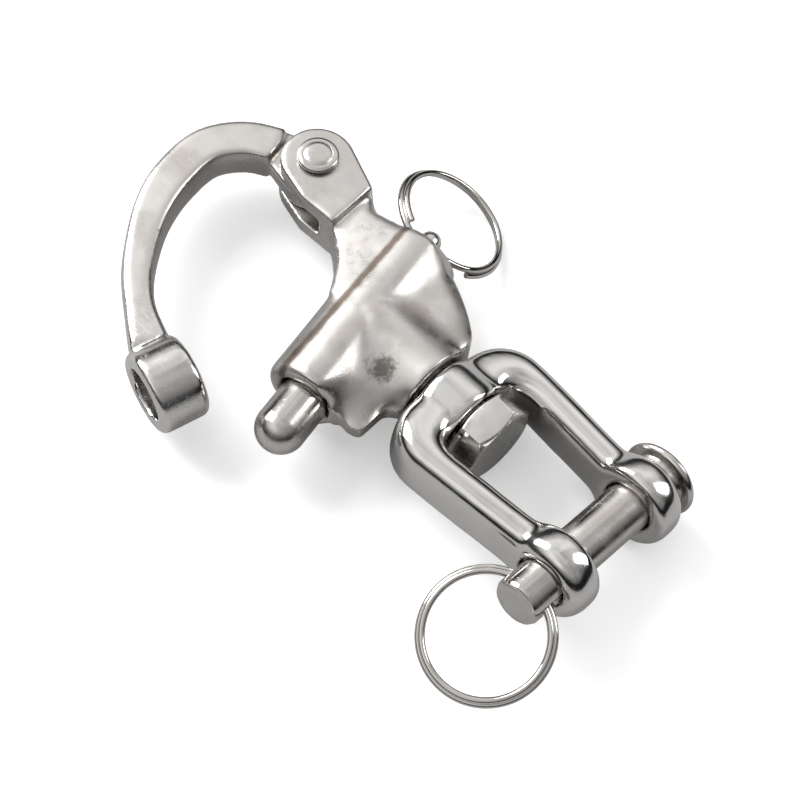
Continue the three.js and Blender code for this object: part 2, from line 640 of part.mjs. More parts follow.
const pinGroup = new THREE.Group();
pinGroup.position.x = CLEVIS_AXIS_X;
const pinHole = new THREE.Group();
pinHole.position.y = PIN_HOLE_Y;
pinHole.rotation.y = radians(PIN_HOLE_ROLL);
pinHole.add(hungRing('clevis_ring', -1, CLEVIS_RING_DROOP, PIN_RADIUS));
pinGroup.add(piece('clevis_pin', toGeometry(clevisPin()), POLISHED, 0.2), pinHole);
forkGroup.add(piece('fork', toGeometry(fork()), POLISHED, 0.16), pinGroup);

const bounds = new THREE.Box3().setFromObject(shackle, true);
const middle = bounds.getCenter(new THREE.Vector3());
shackle.position.set(-middle.x, -middle.y, -bounds.min.z);

export default shackle;
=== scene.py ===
import json
import math

import bpy
from bpy.props import FloatProperty, FloatVectorProperty, IntProperty, PointerProperty
from mathutils import Matrix, Vector


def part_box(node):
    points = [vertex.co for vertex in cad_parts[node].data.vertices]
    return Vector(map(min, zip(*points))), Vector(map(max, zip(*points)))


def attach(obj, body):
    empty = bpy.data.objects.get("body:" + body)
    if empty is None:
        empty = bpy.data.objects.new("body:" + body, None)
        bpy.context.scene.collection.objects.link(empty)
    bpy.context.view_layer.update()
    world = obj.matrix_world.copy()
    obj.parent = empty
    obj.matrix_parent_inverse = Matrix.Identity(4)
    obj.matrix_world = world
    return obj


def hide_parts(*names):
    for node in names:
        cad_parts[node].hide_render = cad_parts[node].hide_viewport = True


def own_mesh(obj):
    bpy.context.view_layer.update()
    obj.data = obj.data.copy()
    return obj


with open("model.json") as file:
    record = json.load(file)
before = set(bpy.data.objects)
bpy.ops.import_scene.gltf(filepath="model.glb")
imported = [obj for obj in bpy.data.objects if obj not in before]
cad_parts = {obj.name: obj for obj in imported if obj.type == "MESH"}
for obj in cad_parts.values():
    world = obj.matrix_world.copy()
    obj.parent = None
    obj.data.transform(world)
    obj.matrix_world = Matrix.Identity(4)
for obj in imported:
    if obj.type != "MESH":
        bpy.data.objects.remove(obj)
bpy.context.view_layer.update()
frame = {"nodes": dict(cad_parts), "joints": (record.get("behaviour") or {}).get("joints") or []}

bl_info = {
    "name": "Snap shackle",
    "version": (1, 0, 0),
    "blender": (4, 5, 0),
    "location": "3D View > Sidebar > Shackle",
    "description": "Models a snap shackle with a swivelling clevis fork around its packed frame",
    "category": "Add Mesh",
}

MM = 0.001

# ---- Places from the frame ----
JOINTS = {joint["name"]: joint for joint in frame["joints"]}


def joint_place(name):
    return Vector(JOINTS[name]["pos_m"])


def joint_axis(name):
    return Vector(JOINTS[name]["axis"])


def node_size(cad_node):
    low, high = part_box(cad_node)
    return high - low


CENTRE = joint_place("fork_swivel")  # where the plunger's axis crosses the swivel axis
PIVOT = joint_place("gate_swing")
PLUNGER_AXIS = joint_axis("plunger_slide")
PIN_AXIS = joint_axis("clevis_pin_spin")

# Each frame below turns drawing axes into the object's own: the latch's Y is the plunger's axis, and
# the fork's X is the swivel axis and its Y the clevis pin's. The hinge has the latch's directions,
# and the gate's frame is the hinge's, turned as far as the gate stands open.
LEAN = math.atan2(-PLUNGER_AXIS.x, PLUNGER_AXIS.y)
FORK_TURN = math.atan2(PIN_AXIS.z, PIN_AXIS.y)
GATE_OPEN = math.radians(JOINTS["gate_swing"]["range_deg"][1])
LATCH = Matrix.Translation(CENTRE) @ Matrix.Rotation(LEAN, 4, "Z")
FORK = Matrix.Translation(CENTRE) @ Matrix.Rotation(FORK_TURN, 4, "X")
HINGE = Matrix.Translation(PIVOT) @ Matrix.Rotation(LEAN, 4, "Z")
GATE = HINGE @ Matrix.Rotation(-GATE_OPEN, 4, "Z")
CLEVIS = Matrix.Translation(joint_place("clevis_pin_spin")) @ Matrix.Rotation(FORK_TURN, 4, "X")
ALONG_X = Matrix.Rotation(math.pi / 2, 4, "Y")  # a shape drawn along Z, laid along X or Y
ALONG_Y = Matrix.Rotation(-math.pi / 2, 4, "X")

# Places on the gate, in its frame.
EYE = Vector((22.3 * MM, -40.2 * MM, 0))
EYE_NECK = Vector((20.5 * MM, -34.5 * MM, 3.4 * MM))

# Places on the body, in the latch frame.
NECK_RIDGE = 9.4 * MM  # from the rivet to the ridge where the ear's flat ends
NECK_FOOT = Vector((-3.4 * MM, 2 * MM, 6 * MM))  # where the neck meets the barrel
NECK_FOOT_TURN = math.radians(2.5)
PITTED_SPOT = Vector((8.1 * MM, -7.4 * MM, 5 * MM))
DULL_SPOT = Vector((7 * MM, 3.6 * MM, 5.2 * MM))

BOLT_HEAD_TURN = math.radians(7)

# How many rounds of smoothing each casting gets all over, and then part by part.
BODY_ROUNDS, RIDGE_ROUNDS, NECK_ROUNDS, DISH_ROUNDS = 7, 20, 70, 600
GATE_ROUNDS, WALL_ROUNDS = 13, 90
FORK_ROUNDS, HUB_ROUNDS, EAR_ROUNDS = 36, 60, 50

WELD = 0.001 * MM  # points nearer than this are one point
POLE = 0.02 * MM  # the smallest ring at the middle of a turned end
HOLE_SEGMENTS = 48
SHANK_SEGMENTS = 64
CHAMFER_SEGMENTS = 128


# ---- Sizes and colours ----
def length(name, description, default):
    return FloatProperty(
        name=name, description=description, default=default, unit="LENGTH", precision=5
    )


def colour(name, description, default):
    return FloatVectorProperty(
        name=name, description=description, default=default, subtype="COLOR", size=3, min=0, max=1
    )


class ShackleSizes(bpy.types.PropertyGroup):
    """Sizes of the pieces"""

    casting_voxel: length("Casting grid", "Grid that the castings are remeshed on", 0.3 * MM)
    rivet_head_radius: length("Rivet head radius", "Radius of the hinge rivet's heads", 3.45 * MM)
    rivet_radius: length("Rivet radius", "Radius of the hinge rivet's shank", 1.9 * MM)
    rivet_head_height: length("Rivet head height", "How far each head stands up", 1.2 * MM)
    plunger_radius: length(
        "Plunger radius", "Radius of the plunger's nose", node_size("plunger").z / 2
    )
    plunger_reach: length("Plunger reach", "From the swivel axis to the nose's tip", 26.9 * MM)
    plunger_shoulder: length(
        "Plunger shoulder", "From the swivel axis to the spring's seat", 6 * MM
    )
    tail_radius: length("Tail radius", "Radius of the plunger's thin end", 1.85 * MM)
    tail_reach: length("Tail reach", "From the swivel axis to the tail's end", 21 * MM)
    tail_hole_radius: length("Tail hole radius", "Cross hole for the pull ring", 1.4 * MM)
    spring_radius: length("Spring radius", "Middle radius of the plunger's spring", 3.35 * MM)
    spring_wire: length("Spring wire radius", "Radius of the spring's wire", 0.45 * MM)
    spring_end: length(
        "Spring end", "From the swivel axis to the end wall's side of the spring", 11.8 * MM
    )
    ring_radius: length("Ring radius", "Outer radius of both split rings", 10.8 * MM)
    ring_wire: length("Ring wire radius", "Radius of the split rings' wire", 0.55 * MM)
    bolt_across_flats: length("Bolt across flats", "Width of the hexagon head", 13 * MM)
    bolt_head_height: length("Bolt head height", "Height of the hexagon head", 5.3 * MM)
    bolt_head_start: length(
        "Bolt head start", "From the plunger's axis to the head's seat", 24.6 * MM
    )
    bolt_radius: length("Bolt radius", "Radius of the swivel bolt's shank", 4 * MM)
    pin_radius: length("Pin radius", "Radius of the clevis pin", 4 * MM)
    pin_head_radius: length(
        "Pin head radius", "Radius of the clevis pin's head", node_size("clevis_pin").x / 2
    )
    pin_seat: length(
        "Pin seat", "From the swivel axis to the underside of the pin's head", 13.9 * MM
    )
    pin_head_height: length("Pin head height", "Height of the pin's head", 3.4 * MM)
    pin_tip: length("Pin tip", "From the swivel axis to the pin's free end", 19 * MM)
    pin_hole_radius: length("Pin hole radius", "Cross hole for the clevis ring", 1.65 * MM)
    turned_segments: IntProperty(
        name="Turned segments", description="Sides of a turned piece", default=96
    )


class ShackleColours(bpy.types.PropertyGroup):
    """Colours of the metal and of the stage"""

    steel: colour("Steel", "Clean stainless steel", (0.6, 0.578, 0.555))
    bright: colour("Bright steel", "Polished stainless steel", (0.68, 0.665, 0.65))
    tarnish: colour("Tarnish", "Warm film left in the hollows", (0.4, 0.31, 0.24))
    seam: colour("Seam", "Brown film along the neck's foot", (0.1, 0.06, 0.036))
    pit: colour("Pit", "Dirt in the casting's pits", (0.1, 0.09, 0.08))
    floor: colour("Floor", "Pale studio floor", (0.88, 0.88, 0.88))


def sizes():
    return bpy.context.scene.shackle_sizes


def colours():
    return bpy.context.scene.shackle_colours


# ---- Modelling tools ----
def add_object(name, data):
    added = bpy.data.objects.new(name, data)
    bpy.context.scene.collection.objects.link(added)
    return added


def activate(piece):
    bpy.ops.object.select_all(action="DESELECT")
    piece.select_set(True)
    bpy.context.view_layer.objects.active = piece


def edit(piece):
    activate(piece)
    bpy.ops.object.mode_set(mode="EDIT")


def leave_edit():
    bpy.ops.object.mode_set(mode="OBJECT")


def put(piece, place):
    """Moves a piece drawn at the origin to its place, and keeps the place in its mesh."""
    activate(piece)
    piece.matrix_world = place
    bpy.ops.object.transform_apply(location=True, rotation=True, scale=True)


def apply_modifier(piece, kind, **settings):
    activate(piece)
    bpy.ops.object.modifier_add(type=kind)
    modifier = piece.modifiers[-1]
    for key, value in settings.items():
        setattr(modifier, key, value)
    bpy.ops.object.modifier_apply(modifier=modifier.name)


def combine(piece, tool, operation):
    """Cuts the tool's shape out of the piece, keeps only what is inside it, or joins the two."""
    apply_modifier(piece, "BOOLEAN", object=tool, operation=operation, solver="EXACT")
    bpy.data.objects.remove(tool)


def close_ends():
    """Closes each open end and turns the faces outwards, in edit mode."""
    bpy.ops.mesh.select_all(action="SELECT")
    bpy.ops.mesh.fill_holes(sides=0)
    bpy.ops.mesh.normals_make_consistent(inside=False)


def turned(name, profile, segments=0):
    """A shape turned about Z, extruded ring by ring through (radius, height) points."""
    radius, height = profile[0]
    bpy.ops.object.select_all(action="DESELECT")
    bpy.ops.mesh.primitive_circle_add(vertices=segments or sizes().turned_segments, radius=radius)
    piece = bpy.context.object
    piece.name = name
    bpy.ops.object.mode_set(mode="EDIT")
    bpy.ops.transform.translate(value=(0, 0, height))
    for next_radius, next_height in profile[1:]:
        rise = (0, 0, next_height - height)
        bpy.ops.mesh.extrude_region_move(TRANSFORM_OT_translate={"value": rise})
        share = next_radius / radius
        bpy.ops.transform.resize(value=(share, share, 1), center_override=(0, 0, next_height))
        radius, height = next_radius, next_height
    close_ends()
    leave_edit()
    return piece


def arc(centre, radius, start, end, steps):
    """Points of an arc in (radius, height), angles in degrees."""
    points = []
    for i in range(steps + 1):
        angle = math.radians(start + (end - start) * i / steps)
        spot = (centre[0] + radius * math.cos(angle), centre[1] + radius * math.sin(angle))
        points.append(spot)
    return points


def rod(name, radius, start, end, segments):
    return turned(name, [(radius, start), (radius, end)], segments)


def drill(piece, joint, radius, reach):
    """Drills a cross hole through the piece along a joint's axis."""
    hole = rod("hole", radius, -reach, reach, HOLE_SEGMENTS)
    turn = Vector((0, 0, 1)).rotation_difference(joint_axis(joint)).to_matrix().to_4x4()
    put(hole, Matrix.Translation(joint_place(joint)) @ turn)
    combine(piece, hole, "DIFFERENCE")


def soften_edges(piece, width, segments, angle):
    apply_modifier(
        piece, "BEVEL", width=width, segments=segments, limit_method="ANGLE",
        angle_limit=math.radians(angle), harden_normals=False,
    )


def shade(piece, angle=30):
    activate(piece)
    bpy.ops.object.shade_smooth_by_angle(angle=math.radians(angle))


def finish_piece(piece, cad_node, body, material):
    piece.data.materials.clear()
    piece.data.materials.append(material)
    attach(piece, body)
    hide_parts(cad_node)


def weld(piece):
    """Joins points that lie on each other and turns the faces outwards."""
    edit(piece)
    bpy.ops.mesh.select_all(action="SELECT")
    bpy.ops.mesh.remove_doubles(threshold=WELD)
    bpy.ops.mesh.normals_make_consistent(inside=False)
    leave_edit()


def casting(cad_node, name, rounds):
    """A casting from a CAD node's shape, on an even grid, with its corners melted into fillets."""
    piece = add_object(name, frame["nodes"][cad_node].data.copy())
    weld(piece)
    apply_modifier(
        piece, "REMESH", mode="VOXEL", voxel_size=sizes().casting_voxel, adaptivity=0,
        use_smooth_shade=True,
    )
    apply_modifier(piece, "SMOOTH", factor=0.5, iterations=rounds)
    return piece


def melt(piece, rounds, weight):
    """Smooths part of a piece. weight(place, normal) says how far each point takes part."""
    group = piece.vertex_groups.new(name="melt")
    for vertex in piece.data.vertices:
        group.add([vertex.index], weight(vertex.co, vertex.normal), "REPLACE")
    apply_modifier(piece, "SMOOTH", factor=0.5, iterations=rounds, vertex_group="melt")
    piece.vertex_groups.clear()


def smoothstep(low, high, value):
    t = max(0.0, min(1.0, (value - low) / (high - low)))
    return t * t * (3 - 2 * t)


# ---- Shader groups ----
def new_group(name, inputs, outputs):
    tree = bpy.data.node_groups.new(name, "ShaderNodeTree")
    for socket, kind, default in inputs:
        made = tree.interface.new_socket(socket, in_out="INPUT", socket_type=kind)
        if default is not None:
            made.default_value = default
    for socket, kind in outputs:
        tree.interface.new_socket(socket, in_out="OUTPUT", socket_type=kind)
    return tree, tree.nodes.new("NodeGroupInput"), tree.nodes.new("NodeGroupOutput")


def node(tree, kind, inputs=None, **settings):
    """Adds a node, sets it up, and fills its inputs with values or links."""
    made = tree.nodes.new(kind)
    for key, value in settings.items():
        setattr(made, key, value)
    for key, value in (inputs or {}).items():
        if isinstance(value, bpy.types.NodeSocket):
            tree.links.new(value, made.inputs[key])
        else:
            made.inputs[key].default_value = value
    return made


def maths(tree, operation, first, second=0.0, clamp=False):
    values = {0: first, 1: second}
    return node(tree, "ShaderNodeMath", values, operation=operation, use_clamp=clamp).outputs[0]


def remap(tree, value, low, high, to_low=0.0, to_high=1.0):
    ranges = {
        "Value": value, "From Min": low, "From Max": high, "To Min": to_low, "To Max": to_high,
    }
    return node(tree, "ShaderNodeMapRange", ranges, interpolation_type="SMOOTHSTEP").outputs[0]


def noise(tree, vector, scale, detail=2.0, roughness=0.5, distortion=0.0):
    values = {
        "Vector": vector, "Scale": scale, "Detail": detail, "Roughness": roughness,
        "Distortion": distortion,
    }
    return node(tree, "ShaderNodeTexNoise", values).outputs["Fac"]


def stretched(tree, vector, turn, scale):
    """Coordinates turned and stretched, so that noise on them becomes fine lines."""
    values = {"Vector": vector, "Rotation": turn, "Scale": scale}
    return node(tree, "ShaderNodeMapping", values).outputs[0]


def scratches_group():
    """Fine handling scratches in three directions."""
    tree, given, result = new_group(
        "Handling scratches",
        [("Vector", "NodeSocketVector", None), ("Scale", "NodeSocketFloat", 1.0)],
        [("Mask", "NodeSocketFloat")],
    )
    scaled = node(
        tree, "ShaderNodeVectorMath", {0: given.outputs["Vector"], "Scale": given.outputs["Scale"]},
        operation="SCALE",
    ).outputs[0]
    total = 0.0
    for turn in ((0.3, 0.2, 0.5), (1.1, 0.7, 2.1), (0.5, 1.9, 1.2)):
        lines = noise(tree, stretched(tree, scaled, turn, (130, 2600, 2600)), 1.0, 1.0)
        mask = remap(tree, lines, 0.66, 0.74)
        total = maths(tree, "MAXIMUM", total, mask)
    patches = remap(tree, noise(tree, scaled, 260, 2.0), 0.42, 0.62)
    tree.links.new(maths(tree, "MULTIPLY", total, patches), result.inputs["Mask"])
    return tree


def cast_skin_group():
    """The skin of a tumbled casting: soft ripples, a fine orange peel and scattered pits."""
    tree, given, result = new_group(
        "Tumbled cast skin",
        [("Vector", "NodeSocketVector", None), ("Ripple scale", "NodeSocketFloat", 420.0),
         ("Grain scale", "NodeSocketFloat", 3200.0), ("Pit scale", "NodeSocketFloat", 2600.0)],
        [("Height", "NodeSocketFloat"), ("Grain", "NodeSocketFloat"), ("Pits", "NodeSocketFloat")],
    )
    vector = given.outputs["Vector"]
    ripple = noise(tree, vector, given.outputs["Ripple scale"], 2.0, 0.45)
    grain = noise(tree, vector, given.outputs["Grain scale"], 3.0, 0.6)
    spread = {"Vector": vector, "Scale": given.outputs["Pit scale"]}
    cells = node(tree, "ShaderNodeTexVoronoi", spread)
    near = remap(tree, cells.outputs["Distance"], 0.08, 0.2, 1.0, 0.0)
    chosen = remap(tree, noise(tree, vector, 700, 1.0), 0.64, 0.72)
    pits = maths(tree, "MULTIPLY", near, chosen)
    soft = maths(tree, "MULTIPLY", ripple, 0.5)
    height = maths(tree, "ADD", soft, maths(tree, "MULTIPLY", grain, 0.16))
    height = maths(tree, "SUBTRACT", height, maths(tree, "MULTIPLY", pits, 0.3))
    tree.links.new(height, result.inputs["Height"])
    tree.links.new(grain, result.inputs["Grain"])
    tree.links.new(pits, result.inputs["Pits"])
    return tree


def tarnish_group():
    """A faint warm film in broad patches, stronger in the hollows."""
    tree, given, result = new_group(
        "Warm film",
        [("Vector", "NodeSocketVector", None), ("Scale", "NodeSocketFloat", 110.0),
         ("Hollow", "NodeSocketFloat", 0.0)],
        [("Mask", "NodeSocketFloat")],
    )
    patches = noise(tree, given.outputs["Vector"], given.outputs["Scale"], 4.0, 0.6, 0.6)
    broad = remap(tree, patches, 0.48, 0.75, 0.0, 0.55)
    thickness = remap(tree, patches, 0.3, 0.6, 0.35, 1.0)
    hollow = maths(tree, "MULTIPLY", given.outputs["Hollow"], thickness)
    tree.links.new(maths(tree, "MAXIMUM", broad, hollow), result.inputs["Mask"])
    return tree


def wear_group():
    """Edges and hollows from how sharply the surface turns: about a half where it is flat."""
    tree, given, result = new_group(
        "Edge wear",
        [("Pointiness", "NodeSocketFloat", 0.5), ("Reach", "NodeSocketFloat", 0.04)],
        [("Edge", "NodeSocketFloat"), ("Hollow", "NodeSocketFloat")],
    )
    bend = maths(tree, "SUBTRACT", given.outputs["Pointiness"], 0.5)
    share = maths(tree, "DIVIDE", bend, given.outputs["Reach"])
    tree.links.new(remap(tree, share, 0.1, 1.0), result.inputs["Edge"])
    inward = maths(tree, "MULTIPLY", share, -1.0)
    tree.links.new(remap(tree, inward, 0.1, 1.0), result.inputs["Hollow"])
    return tree


def stain_group():
    """A ragged round stain about a point, thinning out towards its edge."""
    tree, given, result = new_group(
        "Ragged stain",
        [("Vector", "NodeSocketVector", None), ("Centre", "NodeSocketVector", None),
         ("Radius", "NodeSocketFloat", 3 * MM)],
        [("Mask", "NodeSocketFloat")],
    )
    vector = given.outputs["Vector"]
    away = node(
        tree, "ShaderNodeVectorMath", {0: vector, 1: given.outputs["Centre"]}, operation="DISTANCE",
    ).outputs["Value"]
    share = maths(tree, "DIVIDE", away, given.outputs["Radius"])
    ragged = maths(tree, "MULTIPLY", noise(tree, vector, 1100, 4.0, 0.7, 0.8), 1.1)
    edge = maths(tree, "ADD", share, ragged)
    tree.links.new(remap(tree, edge, 0.75, 1.3, 1.0, 0.0), result.inputs["Mask"])
    return tree


def seam_group():
    """A film along a straight seam. Its vector's X runs across the seam, which is at zero."""
    tree, given, result = new_group(
        "Film in a seam",
        [("Vector", "NodeSocketVector", None), ("Half width", "NodeSocketFloat", 0.8 * MM)],
        [("Mask", "NodeSocketFloat")],
    )
    vector = given.outputs["Vector"]
    across = node(tree, "ShaderNodeSeparateXYZ", {0: vector}).outputs["X"]
    share = maths(tree, "DIVIDE", maths(tree, "ABSOLUTE", across), given.outputs["Half width"])
    ragged = maths(tree, "MULTIPLY", noise(tree, vector, 500, 3.0, 0.6), 0.9)
    edge = maths(tree, "ADD", share, ragged)
    tree.links.new(remap(tree, edge, 0.75, 1.5, 1.0, 0.0), result.inputs["Mask"])
    return tree


SHARED = {}


def shared(name, build):
    if name not in SHARED:
        SHARED[name] = build()
    return SHARED[name]


def use_group(tree, group, inputs):
    return node(tree, "ShaderNodeGroup", inputs, node_tree=group)


def rgb(values):
    return (*values, 1.0)


def mix_colour(tree, share, first, second):
    values = {0: share, 6: first, 7: second}
    return node(tree, "ShaderNodeMix", values, data_type="RGBA").outputs[2]


# How the masks act on every finish.
GRAIN_DULLS = 0.25  # how much rougher the casting's grain is, for a full skin
EDGE_SHINES = 0.35  # how much of the roughness a worn edge loses
SMOOTHEST = 0.04
SCRATCH_DEPTH = 0.08
BUMP = {"Strength": 0.35, "Distance": 0.12 * MM}


def steel(name, base, rough, skin, bump, film, rough_spread=0.1, scratch=0.08, ripple=420.0):
    """A stainless steel finish. skin is how much of the casting's pits and grain is left on it."""
    material = bpy.data.materials.new(name)
    material.use_nodes = True
    tree = material.node_tree
    shader = tree.nodes["Principled BSDF"]
    place = node(tree, "ShaderNodeTexCoord").outputs["Object"]
    bend = node(tree, "ShaderNodeNewGeometry").outputs["Pointiness"]
    wear = use_group(tree, shared("wear", wear_group), {"Pointiness": bend})
    edge, hollow = wear.outputs["Edge"], wear.outputs["Hollow"]
    skin_node = use_group(
        tree, shared("skin", cast_skin_group), {"Vector": place, "Ripple scale": ripple}
    )
    lines = use_group(
        tree, shared("scratches", scratches_group), {"Vector": place}
    ).outputs["Mask"]
    film_mask = use_group(
        tree, shared("film", tarnish_group), {"Vector": place, "Hollow": hollow}
    ).outputs["Mask"]
    film_share = maths(tree, "MULTIPLY", film_mask, film)
    base_film = mix_colour(tree, film_share, rgb(base), rgb(colours().tarnish))
    pits = maths(tree, "MULTIPLY", skin_node.outputs["Pits"], skin)
    tree.links.new(mix_colour(tree, pits, base_film, rgb(colours().pit)), shader.inputs["Base Color"])

    spread = remap(tree, noise(tree, place, 160, 3.0, 0.6), 0.3, 0.7, -rough_spread, rough_spread)
    grainy = maths(tree, "MULTIPLY", skin_node.outputs["Grain"], GRAIN_DULLS * skin)
    total = maths(tree, "ADD", maths(tree, "ADD", spread, rough), grainy)
    total = maths(tree, "ADD", total, maths(tree, "MULTIPLY", lines, scratch))
    total = maths(tree, "SUBTRACT", total, maths(tree, "MULTIPLY", edge, EDGE_SHINES * rough))
    total = maths(tree, "MAXIMUM", total, SMOOTHEST)
    tree.links.new(total, shader.inputs["Roughness"])

    raised = maths(tree, "MULTIPLY", skin_node.outputs["Height"], bump)
    height = maths(tree, "ADD", raised, maths(tree, "MULTIPLY", lines, -SCRATCH_DEPTH))
    bumped = node(tree, "ShaderNodeBump", {**BUMP, "Height": height})
    tree.links.new(bumped.outputs[0], shader.inputs["Normal"])
    shader.inputs["Metallic"].default_value = 1.0
    return material


FINISHES = {}


def finish_named(name, **settings):
    """One material for each finish, made when a piece first asks for it."""
    if name not in FINISHES:
        FINISHES[name] = steel(name, **settings)
    return FINISHES[name]


def stained(material, mask, tint, strength, rougher):
    """Lays a tint over a finish where the mask is, and makes it rougher there."""
    tree = material.node_tree
    shader = tree.nodes["Principled BSDF"]
    share = maths(tree, "MULTIPLY", mask, strength)
    under = shader.inputs["Base Color"].links[0].from_socket
    tree.links.new(mix_colour(tree, share, under, rgb(tint)), shader.inputs["Base Color"])
    rough = shader.inputs["Roughness"].links[0].from_socket
    total = maths(tree, "ADD", rough, maths(tree, "MULTIPLY", share, rougher), clamp=True)
    tree.links.new(total, shader.inputs["Roughness"])


def stain(material, place, centre, radius, tint, strength, rougher):
    """Lays a ragged round stain over a finish, about a point."""
    patch = use_group(
        material.node_tree, shared("stain", stain_group),
        {"Vector": place, "Centre": centre, "Radius": radius},
    )
    stained(material, patch.outputs["Mask"], tint, strength, rougher)


def cast_steel():
    """The body's finish, with a film along the neck's foot and two dull patches between the ridges."""
    material = finish_named(
        "tumbled_cast_steel", base=colours().steel, rough=0.24, skin=0.7, bump=0.9, film=0.45,
    )
    tree = material.node_tree
    place = node(tree, "ShaderNodeTexCoord").outputs["Object"]
    seam = {
        "Vector": place, "Location": LATCH @ NECK_FOOT, "Rotation": (0, 0, LEAN - NECK_FOOT_TURN),
    }
    along = node(tree, "ShaderNodeMapping", seam, vector_type="TEXTURE").outputs[0]
    film = use_group(tree, shared("seam", seam_group), {"Vector": along, "Half width": 0.95 * MM})
    stained(material, film.outputs["Mask"], colours().seam, 0.8, 0.1)
    stain(material, place, LATCH @ PITTED_SPOT, 4.2 * MM, colours().pit, 0.9, 0.2)
    stain(material, place, LATCH @ DULL_SPOT, 4.4 * MM, colours().tarnish, 0.45, 0.2)
    return material


def satin_steel():
    """The gate's finish: satin on the bow, polished round the eye, with a film where they meet."""
    material = finish_named(
        "satin_steel", base=colours().steel, rough=0.3, skin=0.35, bump=0.6, film=0.35,
        rough_spread=0.08, scratch=0.15,
    )
    place = node(material.node_tree, "ShaderNodeTexCoord").outputs["Object"]
    stain(material, place, GATE @ EYE, 24 * MM, colours().bright, 1.0, -0.19)
    stain(material, place, GATE @ EYE_NECK, 3.4 * MM, colours().seam, 0.55, 0.1)
    return material


def mirror_steel():
    return finish_named(
        "mirror_steel", base=colours().bright, rough=0.13, skin=0.08, bump=0.4, film=0.3,
        rough_spread=0.05, ripple=260.0,
    )


def turned_steel():
    return finish_named(
        "turned_steel", base=colours().steel, rough=0.22, skin=0.15, bump=0.2, film=0.4,
    )


def bolt_steel():
    return finish_named(
        "bolt_steel", base=colours().bright, rough=0.2, skin=0.1, bump=0.2, film=0.15,
    )


def ring_wire():
    return finish_named(
        "ring_wire", base=colours().steel, rough=0.15, skin=0.0, bump=0.1, film=0.3,
    )


# ---- Pieces ----
class MakeBodyCasting(bpy.types.Operator):
    """Models the body: ears, neck, barrel and swivel boss"""

    bl_idname = "shackle.make_body_casting"
    bl_label = "Body casting"

    def execute(self, context):
        piece = casting("body_casting", "body_casting_cast", BODY_ROUNDS)
        to_latch = LATCH.inverted()
        ridge_x = (to_latch @ PIVOT).x + NECK_RIDGE
        face_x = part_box("body_casting")[1].x

        def facing(normal):
            return smoothstep(0.15, 0.55, abs(normal.z))

        def past_ridge(place, _normal):
            return smoothstep(ridge_x, ridge_x + 3 * MM, (to_latch @ place).x)

        def in_neck(place, normal):
            local = to_latch @ place
            start = smoothstep(ridge_x + 0.2 * MM, ridge_x + 1.4 * MM, local.x)
            return facing(normal) * start * (1 - smoothstep(-4.5 * MM, -2.5 * MM, local.x))

        def between_ridges(place, normal):
            local = to_latch @ place
            over_web = smoothstep(2.1 * MM, 2.9 * MM, abs(place.z - CENTRE.z))
            over_web *= smoothstep(0, 4 * MM, -local.y)
            beside = smoothstep(2 * MM, 6 * MM, local.x)
            beside *= smoothstep(0.2 * MM, 2.5 * MM, face_x - place.x)
            return beside * max(facing(normal), over_web)

        melt(piece, RIDGE_ROUNDS, past_ridge)
        melt(piece, NECK_ROUNDS, in_neck)
        melt(piece, DISH_ROUNDS, between_ridges)
        finish_piece(piece, "body_casting", "body", cast_steel())
        return {"FINISHED"}


class MakeGate(bpy.types.Operator):
    """Models the gate: tongue, bow and eye"""

    bl_idname = "shackle.make_gate"
    bl_label = "Gate"

    def execute(self, context):
        piece = casting("gate", "gate_cast", GATE_ROUNDS)
        to_gate = GATE.inverted()

        def bow_walls(place, normal):
            local = to_gate @ place
            beside_eye = smoothstep(-38 * MM, -32 * MM, local.y)
            beside_tongue = smoothstep(8 * MM, 10 * MM, local.length)
            return beside_eye * beside_tongue * (1 - smoothstep(0.3, 0.7, abs(normal.z)))

        melt(piece, WALL_ROUNDS, bow_walls)
        finish_piece(piece, "gate", "gate", satin_steel())
        return {"FINISHED"}


class MakeFork(bpy.types.Operator):
    """Models the fork: bow, hub, arms and ears"""

    bl_idname = "shackle.make_fork"
    bl_label = "Fork"

    def execute(self, context):
        piece = casting("fork", "fork_cast", FORK_ROUNDS)
        to_fork = FORK.inverted()
        pin_x = (to_fork @ joint_place("clevis_pin_spin")).x

        def round_hub(place, _normal):
            return 1 - smoothstep(24 * MM, 30 * MM, (to_fork @ place).x)

        def at_ears(place, _normal):
            local = to_fork @ place
            off_face = smoothstep(5.2 * MM, 6.6 * MM, math.hypot(local.x - pin_x, local.z))
            return off_face * smoothstep(pin_x - 16 * MM, pin_x - 12 * MM, local.x)

        melt(piece, HUB_ROUNDS, round_hub)
        melt(piece, EAR_ROUNDS, at_ears)
        finish_piece(piece, "fork", "fork", mirror_steel())
        return {"FINISHED"}


class MakeHingeRivet(bpy.types.Operator):
    """Turns the hinge rivet, with a dished ring in each head"""

    bl_idname = "shackle.make_hinge_rivet"
    bl_label = "Hinge rivet"

    def execute(self, context):
        size = sizes()
        top = node_size("hinge_rivet").z / 2
        seat = top - size.rivet_head_height
        head = size.rivet_head_radius
        rim = 0.45 * MM
        face = [
            (head - 0.25 * MM, seat),
            *arc((head - rim, seat + rim), rim, -30, 62, 6),
            (0.74 * head, top - 0.2 * MM),
            (0.68 * head, top - 0.26 * MM),
            (0.62 * head, top - 0.13 * MM),
            (0.48 * head, top - 0.04 * MM),
            (0.25 * head, top - 0.005 * MM),
            (POLE, top),
        ]
        under = [(radius, -height) for radius, height in reversed(face)]
        shank = [(size.rivet_radius, -seat), (size.rivet_radius, seat)]
        piece = turned("hinge_rivet_turned", under + shank + face)
        shade(piece, 40)
        put(piece, HINGE)
        finish_piece(piece, "hinge_rivet", "body", turned_steel())
        return {"FINISHED"}


